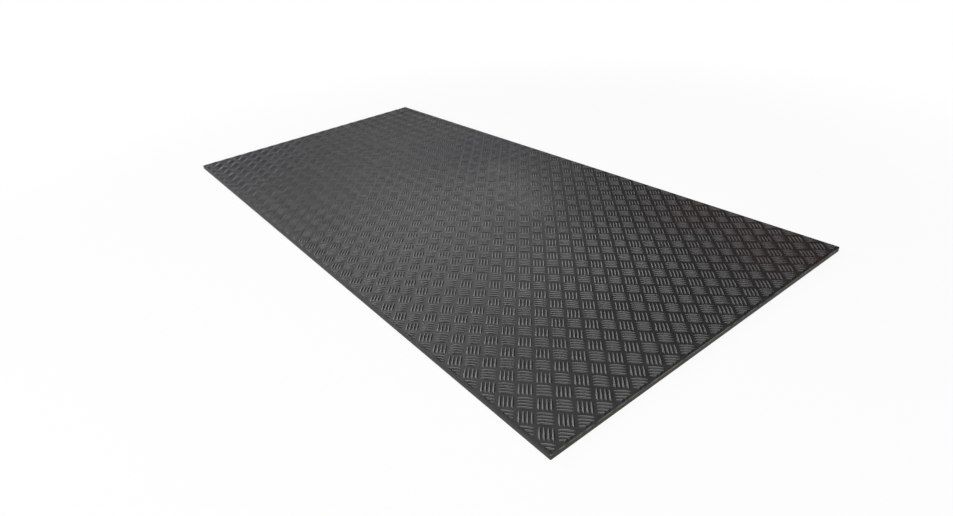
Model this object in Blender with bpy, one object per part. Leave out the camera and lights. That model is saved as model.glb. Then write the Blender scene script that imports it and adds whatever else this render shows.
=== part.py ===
# Ground protection mat: one trimmed sheet of black moulded plastic with a basket-weave tread.
#
# Frame: +X along the long side, +Y along the short side, +Z up. The origin is the middle of the
# flat underside, so the mat lies on Z = 0 with its tread upwards.
#
# The tread is a chequer of bar groups turned 45 degrees to the sides. Each group has four bars
# side by side, highest at mid-length, and the next group's bars run across the first's. Here each
# group is one hipped block: its ridge joins the crowns of the four bars, and its slopes run down to
# the valley lines that it shares with its neighbours.

import bmesh
import bpy

# Driving dimensions, in metres
LENGTH = 2.44                # along X
WIDTH = 1.22                 # along Y
SHEET_THICKNESS = 0.015      # from the underside to the plain rim
VALLEY_RISE = 0.0002         # the tread's valleys above the rim
TREAD_HEIGHT = 0.0034        # the bars' crowns above the valleys
RIM_WIDTH = 0.006            # plain rim between the edge and the cut-off tread
CORNER_RADIUS = 0.003        # the four corners, seen from above
EDGE_BREAK = 0.001           # chamfer along the top and bottom edges
CORNER_STEPS = 3             # facets of a corner

# Tread pattern
PITCH_X = 0.0655             # from a group to the next like it, along X
PITCH_Y = 0.0603             # the same along Y
FIRST_GROUP_X = 0.0475       # from the +X edge to the middle of the first group
FIRST_GROUP_Y = 0.0345       # from the -Y edge to the middle of the same group
BARS_IN_GROUP = 4            # side by side, under one ridge
BAR_PITCH = 0.0098           # from a bar's crown to the next bar's in its group

# Material
PLASTIC_COLOUR = (0.018, 0.018, 0.019, 1.0)
PLASTIC_ROUGHNESS = 0.5


def clear_scene():
    for item in list(bpy.data.objects):
        bpy.data.objects.remove(item, do_unlink=True)


def add_object(name, bm):
    mesh = bpy.data.meshes.new(name)
    bm.to_mesh(mesh)
    bm.free()
    item = bpy.data.objects.new(name, mesh)
    bpy.context.collection.objects.link(item)
    return item


def plastic():
    material = bpy.data.materials.new("black_plastic")
    material.use_nodes = True
    shader = material.node_tree.nodes["Principled BSDF"]
    shader.inputs["Base Color"].default_value = PLASTIC_COLOUR
    shader.inputs["Roughness"].default_value = PLASTIC_ROUGHNESS
    shader.inputs["Metallic"].default_value = 0.0
    return material


def is_upright(edge):
    return abs(edge.verts[0].co.z - edge.verts[1].co.z) > SHEET_THICKNESS / 2


def sheet():
    # The plain sheet: corners rounded first, then both long rims of the outline broken
    bm = bmesh.new()
    bmesh.ops.create_cube(bm, size=1.0)
    bmesh.ops.scale(bm, vec=(LENGTH, WIDTH, SHEET_THICKNESS), verts=bm.verts)
    bmesh.ops.translate(bm, vec=(0, 0, SHEET_THICKNESS / 2), verts=bm.verts)
    uprights = [edge for edge in bm.edges if is_upright(edge)]
    bmesh.ops.bevel(bm, geom=uprights, offset=CORNER_RADIUS, segments=CORNER_STEPS,
                    profile=0.5, affect="EDGES")
    rims = [edge for edge in bm.edges if not is_upright(edge)]
    bmesh.ops.bevel(bm, geom=rims, offset=EDGE_BREAK, segments=1, profile=0.5, affect="EDGES")
    return add_object("mat", bm)


def pattern_point(step_x, step_y, height):
    # A point of the tread, counted in half pitches from the first group's middle
    return (LENGTH / 2 - FIRST_GROUP_X - step_x * PITCH_X / 2,
            -WIDTH / 2 + FIRST_GROUP_Y + step_y * PITCH_Y / 2,
            height)


def half_pitches(distance, pitch):
    return int(2 * distance / pitch) + 2


def valley_corner(bm, corners, step_x, step_y):
    # Neighbouring blocks share their corners
    if (step_x, step_y) not in corners:
        point = pattern_point(step_x, step_y, SHEET_THICKNESS + VALLEY_RISE)
        corners[step_x, step_y] = bm.verts.new(point)
    return corners[step_x, step_y]


def add_block(bm, corners, step_x, step_y):
    # One group as a hipped block. Groups on even steps have their ridge along (1, -1) in steps,
    # and those on odd steps along (1, 1), so ridges turn from each group to the next.
    ring = [valley_corner(bm, corners, step_x + 1, step_y),
            valley_corner(bm, corners, step_x, step_y + 1),
            valley_corner(bm, corners, step_x - 1, step_y),
            valley_corner(bm, corners, step_x, step_y - 1)]
    if step_x % 2:
        ring = ring[1:] + ring[:1]
    cell_side = (ring[1].co - ring[0].co).length
    crown_span = (BARS_IN_GROUP - 1) * BAR_PITCH
    reach = crown_span / 2 / cell_side
    crown = SHEET_THICKNESS + VALLEY_RISE + TREAD_HEIGHT
    middle = sum((corner.co for corner in ring), ring[0].co * 0) / 4
    along = ring[1].co - ring[0].co
    ends = [bm.verts.new(middle + along * side * reach) for side in (-1, 1)]
    for end in ends:
        end.co.z = crown
    bm.faces.new((ring[0], ring[1], ends[1], ends[0]))
    bm.faces.new((ring[2], ring[3], ends[0], ends[1]))
    bm.faces.new((ring[1], ring[2], ends[1]))
    bm.faces.new((ring[3], ring[0], ends[0]))


def cut_away(bm, axis, side, limit):
    # Removes what lies past the rim on one side of the mat
    place = [0.0, 0.0, 0.0]
    normal = [0.0, 0.0, 0.0]
    place[axis] = side * limit
    normal[axis] = side
    everything = list(bm.verts) + list(bm.edges) + list(bm.faces)
    bmesh.ops.bisect_plane(bm, geom=everything, plane_co=place, plane_no=normal,
                           dist=1e-6, clear_outer=True)


def tread():
    # Blocks over the whole sheet, cut off at the rim, with walls down into the sheet
    bm = bmesh.new()
    corners = {}
    first_x = -half_pitches(FIRST_GROUP_X, PITCH_X)
    first_y = -half_pitches(FIRST_GROUP_Y, PITCH_Y)
    last_x = half_pitches(LENGTH - FIRST_GROUP_X, PITCH_X)
    last_y = half_pitches(WIDTH - FIRST_GROUP_Y, PITCH_Y)
    for step_x in range(first_x, last_x + 1):
        for step_y in range(first_y, last_y + 1):
            if (step_x + step_y) % 2 == 0:
                add_block(bm, corners, step_x, step_y)
    for side in (-1, 1):
        cut_away(bm, 0, side, LENGTH / 2 - RIM_WIDTH)
        cut_away(bm, 1, side, WIDTH / 2 - RIM_WIDTH)
    border = [edge for edge in bm.edges if edge.is_boundary]
    walls = bmesh.ops.extrude_edge_only(bm, edges=border)["geom"]
    for item in walls:
        if isinstance(item, bmesh.types.BMVert):
            item.co.z = SHEET_THICKNESS / 2
    foot = [edge for edge in bm.edges if edge.is_boundary]
    bmesh.ops.holes_fill(bm, edges=foot, sides=0)
    bmesh.ops.recalc_face_normals(bm, faces=bm.faces)
    item = add_object("tread_blocks", bm)
    item.hide_render = True
    item.display_type = "WIRE"
    return item


def build():
    clear_scene()
    mat = sheet()
    join = mat.modifiers.new("tread", "BOOLEAN")
    join.operation = "UNION"
    join.solver = "EXACT"
    join.object = tread()
    mat.data.materials.append(plastic())


build()
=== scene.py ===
import math

import bmesh
import bpy
import numpy as np
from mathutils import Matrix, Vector


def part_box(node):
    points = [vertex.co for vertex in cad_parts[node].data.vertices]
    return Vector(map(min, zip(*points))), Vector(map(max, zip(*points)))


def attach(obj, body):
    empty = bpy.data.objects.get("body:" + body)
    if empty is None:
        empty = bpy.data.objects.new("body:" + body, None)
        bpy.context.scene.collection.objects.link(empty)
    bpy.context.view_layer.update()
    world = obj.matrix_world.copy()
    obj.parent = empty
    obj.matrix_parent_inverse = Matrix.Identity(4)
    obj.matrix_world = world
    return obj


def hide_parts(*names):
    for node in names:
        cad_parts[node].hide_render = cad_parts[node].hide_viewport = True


# Looks of a ground protection mat: black plastic sheet, basket-weave bar tread, trimmed edges.
# Metres, Z up. +X runs along the long side, and the near corner of the picture is at +X, -Y.

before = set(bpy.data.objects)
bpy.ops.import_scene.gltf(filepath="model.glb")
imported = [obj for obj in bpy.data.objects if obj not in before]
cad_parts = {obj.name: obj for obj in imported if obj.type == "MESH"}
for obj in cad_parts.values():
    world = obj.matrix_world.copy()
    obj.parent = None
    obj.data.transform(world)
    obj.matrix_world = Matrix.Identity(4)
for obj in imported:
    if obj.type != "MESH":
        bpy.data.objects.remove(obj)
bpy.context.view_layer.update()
low, high = (np.array(corner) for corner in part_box("mat"))
length, width = (high - low)[:2]
print("mat frame loaded:", round(float(length), 3), "x", round(float(width), 3))


def meshPiece(name, points, faces, materials):
    # an object at the origin, from its points and its faces
    mesh = bpy.data.meshes.new(name)
    mesh.from_pydata(points, [], faces)
    piece = bpy.data.objects.new(name, mesh)
    bpy.context.collection.objects.link(piece)
    for material in materials:
        mesh.materials.append(material)
    return piece


def gridFaces(rows, columns, wrap=False):
    # quads of a rows x columns grid of points, as one array; wrap joins the last row to the first
    ends = rows if wrap else rows - 1
    row, column = np.meshgrid(np.arange(ends), np.arange(columns - 1), indexing="ij")
    following = (row + 1) % rows
    quads = np.stack([row * columns + column, following * columns + column,
                      following * columns + column + 1, row * columns + column + 1], axis=-1)
    return quads.reshape(-1, 4)


# Materials

def startMaterial(name):
    material = bpy.data.materials.new(name)
    material.use_nodes = True
    tree = material.node_tree
    return material, tree, tree.nodes["Principled BSDF"]


def addNode(tree, kind, inputs=(), **settings):
    node = tree.nodes.new(kind)
    for key, value in settings.items():
        setattr(node, key, value)
    for socket, value in inputs:
        if isinstance(value, bpy.types.NodeSocket):
            tree.links.new(value, node.inputs[socket])
        else:
            node.inputs[socket].default_value = value
    return node


def mathNode(tree, operation, *values):
    return addNode(tree, "ShaderNodeMath", enumerate(values), operation=operation).outputs[0]


def times(tree, first, second):
    return mathNode(tree, "MULTIPLY", first, second)


def objectPlace(tree):
    return addNode(tree, "ShaderNodeTexCoord").outputs["Object"]


def noise(tree, vector, scale, detail, roughness=0.55):
    node = addNode(tree, "ShaderNodeTexNoise",
                   (("Vector", vector), ("Scale", scale), ("Detail", detail), ("Roughness", roughness)))
    return node.outputs[0]


def spread(tree, value, fromLow, fromHigh, toLow=0.0, toHigh=1.0):
    # maps a range of one value smoothly to another
    node = addNode(tree, "ShaderNodeMapRange",
                   (("Value", value), ("From Min", fromLow), ("From Max", fromHigh),
                    ("To Min", toLow), ("To Max", toHigh)), interpolation_type="SMOOTHSTEP")
    return node.outputs[0]


def mottle(tree, place, pattern):
    # noise as a share: 0 under the lower of the pattern's marks and 1 over the upper one
    field = noise(tree, place, pattern["scale"], pattern["detail"], pattern["roughness"])
    return spread(tree, field, *pattern["marks"])


def blendColours(tree, share, first, second):
    node = addNode(tree, "ShaderNodeMix", ((0, share), (6, first), (7, second)), data_type="RGBA")
    return node.outputs[2]


def bump(tree, height, pattern, under=None):
    inputs = [("Height", height), ("Strength", pattern["strength"]), ("Distance", pattern["depth"])]
    if under is not None:
        inputs.append(("Normal", under))
    return addNode(tree, "ShaderNodeBump", inputs).outputs[0]


plasticLook = {
    "black": (0.023, 0.0233, 0.0240, 1), "worn": (0.034, 0.034, 0.034, 1),
    "clouds": {"scale": 2.3, "detail": 4, "roughness": 0.55, "marks": (0.35, 0.68)},
    "patches": {"scale": 26, "detail": 6, "roughness": 0.55, "marks": (0.38, 0.70)},
    # along the bars' crests, wear with a painted highlight, and down at their feet, painted shade, counted
    # on the rise from -1 to 1
    "crestWearAndPaintedHighlight": (0.285, 0.286, 0.290, 1), "crestWearAndPaintedHighlightShare": 0.85, "crestWearAndPaintedHighlightRise": (0.56, 1),
    "paintedMiddleHighlight": (0.50, 0.50, 0.51, 1),      # painted highlight: brighter crests in the middle of the mat
    "paintedMiddleHighlightPlaces": (((0.64, -0.02, 0.017), 0.55), ((0.20, 0.0, 0.017), 0.60)),
    # painted shade: near-black at the bars' feet, and a little over the flat valleys
    "paintedShade": (0.005, 0.005, 0.005, 1), "paintedShadeShare": 0.95, "paintedShadeRise": (0.25, -0.60),
    # tints, scuffs and dust. Each place is a middle and a radius
    "warm": (0.034, 0.020, 0.017, 1), "warmShare": 0.60,
    "warmPlaces": (((1.10, 0.50, 0.017), 0.42), ((0.81, 0.54, 0.017), 0.36)),
    "cool": (0.023, 0.028, 0.036, 1), "coolShare": 0.45,
    "coolPlaces": (((-0.29, 0.43, 0.017), 0.5), ((-1.15, -0.45, 0.017), 0.6)),
    "scuff": (0.16, 0.16, 0.155, 1), "scuffShare": 0.60,
    "scuffPlaces": (((0.729, -0.238, 0.017), 0.035), ((0.32, 0.178, 0.017), 0.16),
                    ((0.14, 0.255, 0.017), 0.20), ((-0.03, 0.331, 0.017), 0.16)),
    "streaks": {"scale": 60, "detail": 6, "roughness": 0.75, "marks": (0.42, 0.62)},
    "dust": (0.15, 0.14, 0.12, 1), "dustShare": 0.08,
    "specks": {"scale": 420, "detail": 3, "roughness": 0.55, "marks": (0.56, 0.74)},
    # surface
    "roughness": (0.25, 0.31), "roughnessMarks": (0.2, 1.6), "valleyMatt": 0.12, "specular": 0.60,
    "grain": {"scale": 2600, "detail": 2, "strength": 0.15, "depth": 0.00005},
    "ripple": {"scale": 110, "detail": 2, "strength": 0.02, "depth": 0.00025},
}


def nearPlaces(tree, place, spots):
    # 1 in the middle of each spot, falling to 0 at its radius
    total = None
    for middle, radius in spots:
        away = addNode(tree, "ShaderNodeVectorMath", ((0, place), (1, middle)),
                       operation="DISTANCE").outputs["Value"]
        share = spread(tree, away, 0, radius, 1, 0)
        total = share if total is None else mathNode(tree, "MAXIMUM", total, share)
    return total


def plasticMaterial(name, matt=0.0):
    # moulded black polyethylene: cloudy grey in broad patches, worn and with a painted highlight along
    # the bars' crests, a brighter painted highlight on the crests in the middle of the mat, and painted
    # shade at the bars' feet, with tints, scuffs, dust and fine grain. The sheet has no rise of its own,
    # so its valleys count as 0 and take a little of the painted shade.
    look = plasticLook
    material, tree, shader = startMaterial(name)
    place = objectPlace(tree)
    clouds, patches = mottle(tree, place, look["clouds"]), mottle(tree, place, look["patches"])
    colour = blendColours(tree, times(tree, clouds, patches), look["black"], look["worn"])
    rise = addNode(tree, "ShaderNodeAttribute", attribute_name="rise").outputs["Fac"]
    # wear and a painted highlight along the crests
    crests = times(tree, spread(tree, rise, *look["crestWearAndPaintedHighlightRise"]), look["crestWearAndPaintedHighlightShare"])
    # a brighter painted highlight on the crests in the middle of the mat
    paintedMiddleHighlight = nearPlaces(tree, place, look["paintedMiddleHighlightPlaces"])
    colour = blendColours(tree, crests, colour, blendColours(tree, paintedMiddleHighlight, look["crestWearAndPaintedHighlight"], look["paintedMiddleHighlight"]))
    # painted shade at the bars' feet, and a little over the flat valleys
    feet = times(tree, spread(tree, rise, *look["paintedShadeRise"]), look["paintedShadeShare"])
    colour = blendColours(tree, feet, colour, look["paintedShade"])
    for tint in ("warm", "cool"):
        share = times(tree, nearPlaces(tree, place, look[tint + "Places"]), look[tint + "Share"])
        colour = blendColours(tree, share, colour, look[tint])
    streaks = mottle(tree, place, look["streaks"])
    scuffed = times(tree, nearPlaces(tree, place, look["scuffPlaces"]), streaks)
    colour = blendColours(tree, times(tree, scuffed, look["scuffShare"]), colour, look["scuff"])
    dusty = times(tree, mottle(tree, place, look["specks"]), patches)
    colour = blendColours(tree, times(tree, dusty, look["dustShare"]), colour, look["dust"])
    tree.links.new(colour, shader.inputs["Base Color"])
    both = mathNode(tree, "ADD", patches, clouds)
    rough = spread(tree, both, *look["roughnessMarks"], *look["roughness"])
    tree.links.new(mathNode(tree, "ADD", rough, matt), shader.inputs["Roughness"])
    shader.inputs["Specular IOR Level"].default_value = look["specular"]
    relief = None
    for layer in ("grain", "ripple"):
        pattern = look[layer]
        relief = bump(tree, noise(tree, place, pattern["scale"], pattern["detail"]), pattern, relief)
    tree.links.new(relief, shader.inputs["Normal"])
    return material


edgeLook = {
    "dark": (0.010, 0.0097, 0.0082, 1), "pale": (0.026, 0.024, 0.019, 1), "paleMarks": (0.45, 0.95),
    "cuts": {"scale": 900, "detail": 3, "share": 0.4, "strength": 0.5, "depth": 0.00012},
    "upright": (1, 1, 0.05),      # draws the saw's marks out in height
    "smear": {"scale": 30, "detail": 5},
    # painted highlight in patches near the top of the +X wall
    "paintedEdgeHighlight": (0.21, 0.195, 0.155, 1), "paintedEdgeHighlightShare": 0.80, "paintedEdgeHighlightMarks": (0.35, 0.60),
    "paintedEdgeHighlightSide": (1.2180, 1.2192), "paintedEdgeHighlightHeight": (0.0112, 0.0132),
    "roughness": 0.62,
}


def edgeMaterial():
    # the trimmed walls: greyer and matt, with upright marks from the saw. Near the top of the +X wall
    # a painted highlight lies in patches.
    look = edgeLook
    material, tree, shader = startMaterial("trimmedEdge")
    place = objectPlace(tree)
    squeezed = addNode(tree, "ShaderNodeMapping", (("Vector", place), ("Scale", look["upright"]))).outputs[0]
    cuts = noise(tree, squeezed, look["cuts"]["scale"], look["cuts"]["detail"])
    smear = noise(tree, place, look["smear"]["scale"], look["smear"]["detail"])
    both = mathNode(tree, "ADD", times(tree, cuts, look["cuts"]["share"]), smear)
    colour = blendColours(tree, spread(tree, both, *look["paleMarks"]), look["dark"], look["pale"])
    at = addNode(tree, "ShaderNodeSeparateXYZ", ((0, place),)).outputs
    # painted highlight near the top of the +X wall
    paintedEdgeHighlight = times(tree, spread(tree, at["X"], *look["paintedEdgeHighlightSide"]), spread(tree, at["Z"], *look["paintedEdgeHighlightHeight"]))
    patchy = times(tree, spread(tree, smear, *look["paintedEdgeHighlightMarks"]), look["paintedEdgeHighlightShare"])
    colour = blendColours(tree, times(tree, paintedEdgeHighlight, patchy), colour, look["paintedEdgeHighlight"])
    tree.links.new(colour, shader.inputs["Base Color"])
    shader.inputs["Roughness"].default_value = look["roughness"]
    tree.links.new(bump(tree, cuts, look["cuts"]), shader.inputs["Normal"])
    return material


plastic = plasticMaterial("mouldedPlastic")
valleyPlastic = plasticMaterial("valleyPlastic", plasticLook["valleyMatt"])      # the flat valleys
trimmed = edgeMaterial()
print("materials made")

# Sheet

sheetSize = {
    "thickness": 0.015, "cornerRadius": 0.003, "cornerSteps": 6, "edgeRadius": 0.0009, "edgeSteps": 4,
    "pathStep": 0.01,      # between two points of a long side
}


def outlinePath(size):
    # a rounded rectangle, as points and outward normals: four quarter circles, one at each corner,
    # with straight stretches between them cut into even steps
    radius = size["cornerRadius"]
    reach = np.array([length / 2 - radius, width / 2 - radius])
    signs = np.array([(1, 1), (-1, 1), (-1, -1), (1, -1)])
    points, normals = [], []
    for quarter in range(4):
        angle = np.radians(90 * quarter + np.linspace(0, 90, size["cornerSteps"] + 1))
        normal = np.stack([np.cos(angle), np.sin(angle)], axis=-1)
        arc = signs[quarter] * reach + radius * normal
        start, end = arc[-1], signs[(quarter + 1) % 4] * reach + radius * normal[-1]
        count = int(np.hypot(*(end - start)) / size["pathStep"])
        share = np.arange(1, count)[:, None] / count
        points += [arc, start + (end - start) * share]
        normals += [normal, np.repeat(normal[-1:], count - 1, axis=0)]
    return np.concatenate(points), np.concatenate(normals)


def makeSheet():
    # the wall's profile carried along the outline: a quarter circle at the bottom edge, the plain
    # wall and a quarter circle at the top edge. Each profile point lies inwards by its inset.
    size = sheetSize
    outline, normals = outlinePath(size)
    radius, turn = size["edgeRadius"], np.radians(np.linspace(0, 90, size["edgeSteps"] + 1))
    inset = np.concatenate([radius * (1 - np.sin(turn)), radius * (1 - np.cos(turn))])
    up = np.concatenate([radius * (1 - np.cos(turn)), size["thickness"] - radius * (1 - np.sin(turn))])
    count, steps = len(outline), len(inset)
    points = np.empty((count, steps, 3))
    points[:, :, :2] = outline[:, None] - normals[:, None] * inset[:, None]
    points[:, :, 2] = up
    walls = gridFaces(count, steps, wrap=True)
    ring = np.arange(count) * steps
    faces = walls.tolist() + [ring[::-1].tolist(), (ring + steps - 1).tolist()]
    piece = meshPiece("mat_sheet", points.reshape(-1, 3), faces, [valleyPlastic, trimmed])
    isWall = np.arange(len(faces)) < len(walls)      # the underside and the top come last
    piece.data.polygons.foreach_set("material_index", isWall.astype(np.int32))
    piece.data.polygons.foreach_set("use_smooth", isWall)
    return piece


sheet = makeSheet()
print("sheet made,", len(sheet.data.polygons), "faces")

# Tread

tread = {
    "pitchX": 0.0655, "pitchY": 0.0603, "firstX": 0.0475, "firstY": 0.0345, "margin": 4,
    "barsInGroup": 4, "barPitch": 0.0098, "barLength": 0.0400, "barWidth": 0.0077, "height": 0.0036,
    "sunk": 0.0004, "plan": 0.25, "arch": 0.75, "back": 1.00, "stations": 9, "across": 7,
    "rim": 0.006, "cutSlack": 1e-7, "piecesAlong": 4, "creaseAngle": 75,
}


def barShape(size):
    # one bar on a grid of s along and t across, both from -1 to 1. Half its width is a blunt lens,
    # (1 - s^2)^plan, and its height an arch, (1 - s^2)^arch, times a round back, (1 - t^2)^back.
    # Each end closes to a point, and a flat strip under the sheet's face closes the bottom.
    # The rise runs from -1 at the feet to 1 along the crest, for the wear and the grime.
    s = np.sin(np.linspace(-np.pi / 2, np.pi / 2, size["stations"]))
    t = np.sin(np.linspace(-np.pi / 2, np.pi / 2, size["across"]))
    reach = 1 - s ** 2
    middle = slice(1, -1)
    along = np.repeat(s[middle, None], len(t), axis=1) * size["barLength"] / 2
    across = reach[middle, None] ** size["plan"] * t * size["barWidth"] / 2
    crown = reach[middle, None] ** size["arch"] * (1 - t ** 2) ** size["back"]
    up = crown * (size["height"] + size["sunk"]) - size["sunk"]
    body = np.stack([along, across, up], axis=-1).reshape(-1, 3)
    tips = np.array([[-size["barLength"] / 2, 0, -size["sunk"]], [size["barLength"] / 2, 0, -size["sunk"]]])
    rows, columns = size["stations"] - 2, size["across"]
    top = gridFaces(rows, columns)
    row = np.arange(rows - 1) * columns
    under = np.stack([row, row + columns - 1, row + 2 * columns - 1, row + columns], axis=-1)
    firstTip, lastTip = rows * columns, rows * columns + 1
    step = np.arange(columns - 1)
    last = (rows - 1) * columns
    nearEnd = np.stack([np.full_like(step, firstTip), step, step + 1], axis=-1)
    farEnd = np.stack([np.full_like(step, lastTip), last + step + 1, last + step], axis=-1)
    caps = np.array([[firstTip, columns - 1, 0], [lastTip, last, last + columns - 1]])
    triangles = np.concatenate([nearEnd, farEnd, caps])
    rise = np.append(np.tile(1 - 2 * t ** 2, rows), (-1, -1))
    return np.concatenate([body, tips]), rise, np.concatenate([top, under]), triangles


def treadBars(size):
    # every bar's middle and its direction. Groups sit where their two half-pitch counts are both
    # even or both odd, and bars turn from one to the other. The margin is in half pitches too.
    margin = size["margin"]
    countX = np.arange(-margin, int(2 * length / size["pitchX"]) + margin)
    countY = np.arange(-margin, int(2 * width / size["pitchY"]) + margin)
    stepX, stepY = (grid.ravel() for grid in np.meshgrid(countX, countY, indexing="ij"))
    kept = (stepX + stepY) % 2 == 0
    stepX, stepY = stepX[kept], stepY[kept]
    middle = np.stack([high[0] - size["firstX"] - stepX * size["pitchX"] / 2,
                       low[1] + size["firstY"] + stepY * size["pitchY"] / 2], axis=-1)
    diagonal = np.array([size["pitchX"], size["pitchY"]]) / math.hypot(size["pitchX"], size["pitchY"])
    turned = (stepX % 2)[:, None]
    along = np.where(turned, diagonal, diagonal * (-1, 1))
    beside = np.where(turned, diagonal * (-1, 1), diagonal)
    place = (np.arange(size["barsInGroup"]) - (size["barsInGroup"] - 1) / 2) * size["barPitch"]
    bars = middle[:, None] + beside[:, None] * place[:, None]
    along = np.repeat(along[:, None], size["barsInGroup"], axis=1)
    return bars.reshape(-1, 2), along.reshape(-1, 2)


def placeBars(shape, bars, along):
    # all bars' points at once: the shape's length along each bar, its width across and its height up
    side = np.stack([-along[:, 1], along[:, 0]], axis=-1)
    flat = bars[:, None] + along[:, None] * shape[None, :, :1] + side[:, None] * shape[None, :, 1:2]
    up = np.broadcast_to(sheetSize["thickness"] + shape[None, :, 2:], flat.shape[:2] + (1,))
    return np.concatenate([flat, up], axis=-1)


def joinedFaces(faces, count, pointsEach):
    # one bar's faces repeated for all bars of a mesh
    return (faces[None] + np.arange(count)[:, None, None] * pointsEach).reshape(-1, faces.shape[1])


def barMesh(name, points, rise, quads, triangles):
    count, each = points.shape[:2]
    faces = joinedFaces(quads, count, each).tolist() + joinedFaces(triangles, count, each).tolist()
    piece = meshPiece(name, points.reshape(-1, 3), faces, [plastic])
    piece.data.polygons.foreach_set("use_smooth", np.ones(len(faces), dtype=bool))
    piece.data.set_sharp_from_angle(angle=math.radians(tread["creaseAngle"]))
    piece.data.attributes.new("rise", "FLOAT", "POINT").data.foreach_set("value", np.tile(rise, count))
    return piece


def trimToRim(piece, size):
    # saws off what stands past the rim and closes the cuts
    bm = bmesh.new()
    bm.from_mesh(piece.data)
    for axis in (0, 1):
        for side, corner in ((-1, low), (1, high)):
            place, normal = [0, 0, 0], [0, 0, 0]
            place[axis], normal[axis] = corner[axis] - side * size["rim"], side
            parts = list(bm.verts) + list(bm.edges) + list(bm.faces)
            cut = bmesh.ops.bisect_plane(bm, geom=parts, plane_co=place, plane_no=normal,
                                         dist=size["cutSlack"], clear_outer=True)["geom_cut"]
            edges = [item for item in cut if isinstance(item, bmesh.types.BMEdge)]
            caps = bmesh.ops.holes_fill(bm, edges=edges, sides=0)["faces"]
            for edge in {edge for cap in caps for edge in cap.edges}:
                edge.smooth = False
    bmesh.ops.recalc_face_normals(bm, faces=bm.faces)
    bm.to_mesh(piece.data)
    bm.free()


def makeTread():
    # whole bars in a few runs along the mat, and the ones that the rim cuts in a piece of their own
    size = tread
    shape, rise, quads, triangles = barShape(size)
    bars, along = treadBars(size)
    points = placeBars(shape, bars, along)
    spanLow, spanHigh = points.min(axis=1)[:, :2], points.max(axis=1)[:, :2]
    inner = np.array([low[:2] + size["rim"], high[:2] - size["rim"]])
    touches = ((spanHigh > inner[0]) & (spanLow < inner[1])).all(axis=1)
    whole = ((spanLow >= inner[0]) & (spanHigh <= inner[1])).all(axis=1)
    cut = barMesh("tread_bars_edge", points[touches & ~whole], rise, quads, triangles)
    trimToRim(cut, size)
    pieces = [cut]
    share = (bars[:, 0] - low[0]) / length
    run = np.floor(share * size["piecesAlong"]).astype(int)
    for number in range(size["piecesAlong"]):
        name = "tread_bars_" + str(number + 1)
        pieces.append(barMesh(name, points[whole & (run == number)], rise, quads, triangles))
    return pieces


treadPieces = makeTread()
print("tread made,", sum(len(piece.data.polygons) for piece in treadPieces), "faces")

for piece in [sheet] + treadPieces:
    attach(piece, "root")
    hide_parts("mat")

# Floor, light and camera

studio = {
    "floorSize": 160, "floorDrop": 0.0003, "floorColour": (0.90, 0.90, 0.90, 1), "floorRoughness": 0.9,
    "whiteNear": 0.91, "whiteFar": 1.0, "nearReach": 1.3, "farReach": 2.8,
    "white": (1, 1, 1, 1), "whiteStrength": 1.0, "worldColour": (0.95, 0.98, 1.0, 1), "worldStrength": 0.05,
}


def whiteWhenSeen(tree):
    # 1 for the camera, for reflections and through clear things
    rays = addNode(tree, "ShaderNodeLightPath").outputs
    seen = mathNode(tree, "MAXIMUM", rays["Is Camera Ray"], rays["Is Glossy Ray"])
    return mathNode(tree, "MAXIMUM", seen, rays["Is Transmission Ray"])


def mixShaders(tree, share, first, second):
    return addNode(tree, "ShaderNodeMixShader", ((0, share), (1, first.outputs[0]), (2, second.outputs[0])))


def makeFloor():
    # pale floor just under the mat: it keeps the mat's shadow and turns plain white further out.
    # Seen from below it is clear, so that the mat's underside shows.
    half, drop = studio["floorSize"] / 2, -studio["floorDrop"]
    corners = [(-half, -half, drop), (half, -half, drop), (half, half, drop), (-half, half, drop)]
    material, tree, shader = startMaterial("paleFloor")
    shader.inputs["Base Color"].default_value = studio["floorColour"]
    shader.inputs["Roughness"].default_value = studio["floorRoughness"]
    white = addNode(tree, "ShaderNodeEmission",
                    (("Color", studio["white"]), ("Strength", studio["whiteStrength"])))
    away = addNode(tree, "ShaderNodeVectorMath", ((0, objectPlace(tree)),),
                   operation="LENGTH").outputs["Value"]
    whiteness = spread(tree, away, studio["nearReach"], studio["farReach"],
                       studio["whiteNear"], studio["whiteFar"])
    above = mixShaders(tree, times(tree, whiteWhenSeen(tree), whiteness), shader, white)
    below = addNode(tree, "ShaderNodeNewGeometry").outputs["Backfacing"]
    clear = addNode(tree, "ShaderNodeBsdfTransparent")
    sided = mixShaders(tree, below, above, clear)
    tree.links.new(sided.outputs[0], tree.nodes["Material Output"].inputs["Surface"])
    floor = meshPiece("floor", corners, [(0, 1, 2, 3)], [material])


def makeWorld():
    # a faint even light, and plain white where the camera sees it
    world = bpy.data.worlds.new("studioWorld")
    bpy.context.scene.world = world
    world.use_nodes = True
    tree = world.node_tree
    light = tree.nodes["Background"]
    light.inputs["Color"].default_value = studio["worldColour"]
    light.inputs["Strength"].default_value = studio["worldStrength"]
    white = addNode(tree, "ShaderNodeBackground",
                    (("Color", studio["white"]), ("Strength", studio["whiteStrength"])))
    rays = addNode(tree, "ShaderNodeLightPath").outputs
    mixed = mixShaders(tree, rays["Is Camera Ray"], light, white)
    tree.links.new(mixed.outputs[0], tree.nodes["World Output"].inputs["Surface"])


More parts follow.
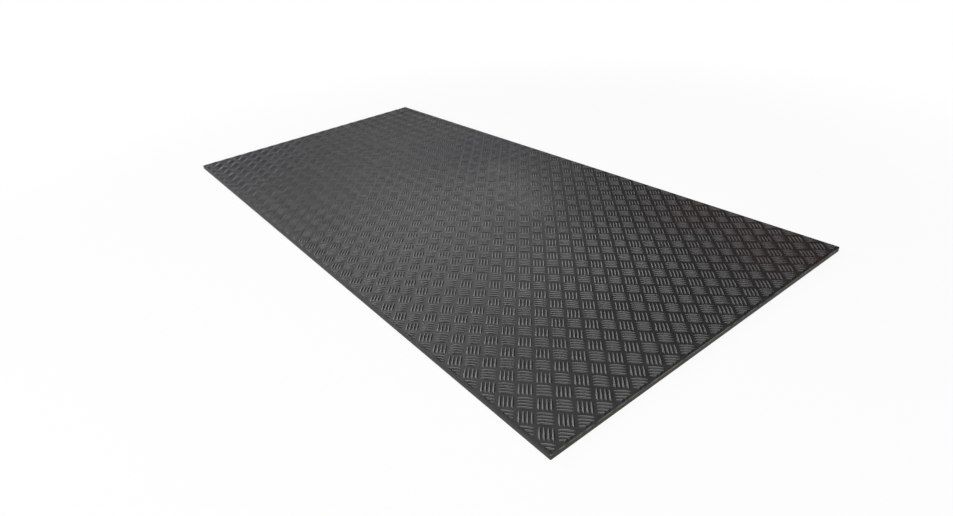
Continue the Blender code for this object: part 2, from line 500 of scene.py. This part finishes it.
# each at a heading counted from +X and a height, both in degrees, round the mat's middle
softBoxes = {
    "backLeft": {"azimuth": 200, "elevation": 22, "distance": 6.5, "size": (3.0, 2.0), "power": 168},
    "lowBack": {"azimuth": 178, "elevation": 9, "distance": 6.5, "size": (3.0, 1.8), "power": 6},
    "back": {"azimuth": 146, "elevation": 30, "distance": 6.5, "size": (3.0, 1.6), "power": 28},
    "highBack": {"azimuth": 165, "elevation": 45, "distance": 6.5, "size": (4.5, 3.0), "power": 42},
    "front": {"azimuth": 326.8, "elevation": 27, "distance": 4.0, "size": (2.0, 2.0), "power": 28},
    "frontLeft": {"azimuth": 281.8, "elevation": 27, "distance": 4.0, "size": (2.0, 2.0), "power": 60},
    "highRight": {"azimuth": 11.8, "elevation": 57, "distance": 4.0, "size": (2.0, 2.0), "power": 25},
    "above": {"azimuth": 0, "elevation": 89.9, "distance": 4.0, "size": (2.4, 2.4), "power": 25},
}


def heading(azimuth, elevation):
    # the direction of a heading and a height, in degrees
    turn, rise = math.radians(azimuth), math.radians(elevation)
    return Vector((math.cos(turn) * math.cos(rise), math.sin(turn) * math.cos(rise), math.sin(rise)))


def addSoftBox(name, box):
    # a rectangle of light, turned to face the mat's middle
    lamp = bpy.data.lights.new(name + "Box", "AREA")
    lamp.shape = "RECTANGLE"
    lamp.size, lamp.size_y = box["size"]
    lamp.energy = box["power"]
    item = bpy.data.objects.new(name + "Box", lamp)
    bpy.context.collection.objects.link(item)
    outward = heading(box["azimuth"], box["elevation"])
    item.location = outward * box["distance"]
    item.rotation_euler = outward.to_track_quat("Z", "Y").to_euler()


cameraView = {
    "place": (1.838, -1.219, 1.0007), "azimuth": 146.81, "elevation": -30.0, "roll": -6.14,
    "lens": 22.52, "shiftX": 0.0323,
}


def makeCamera():
    # standing off the near corner, looking along the mat and down
    lens = bpy.data.cameras.new("photoCamera")
    lens.lens = cameraView["lens"]
    lens.shift_x = cameraView["shiftX"]
    camera = bpy.data.objects.new("photoCamera", lens)
    bpy.context.collection.objects.link(camera)
    ahead = heading(cameraView["azimuth"], cameraView["elevation"])
    camera.rotation_euler = ahead.to_track_quat("-Z", "Y").to_euler()
    camera.rotation_euler.rotate_axis("Z", math.radians(cameraView["roll"]))
    camera.location = cameraView["place"]
    bpy.context.scene.camera = camera


makeFloor()
makeWorld()
for boxName, boxSettings in softBoxes.items():
    addSoftBox(boxName, boxSettings)
makeCamera()
bpy.context.scene.view_settings.view_transform = "Standard"
print("floor, light and camera set")
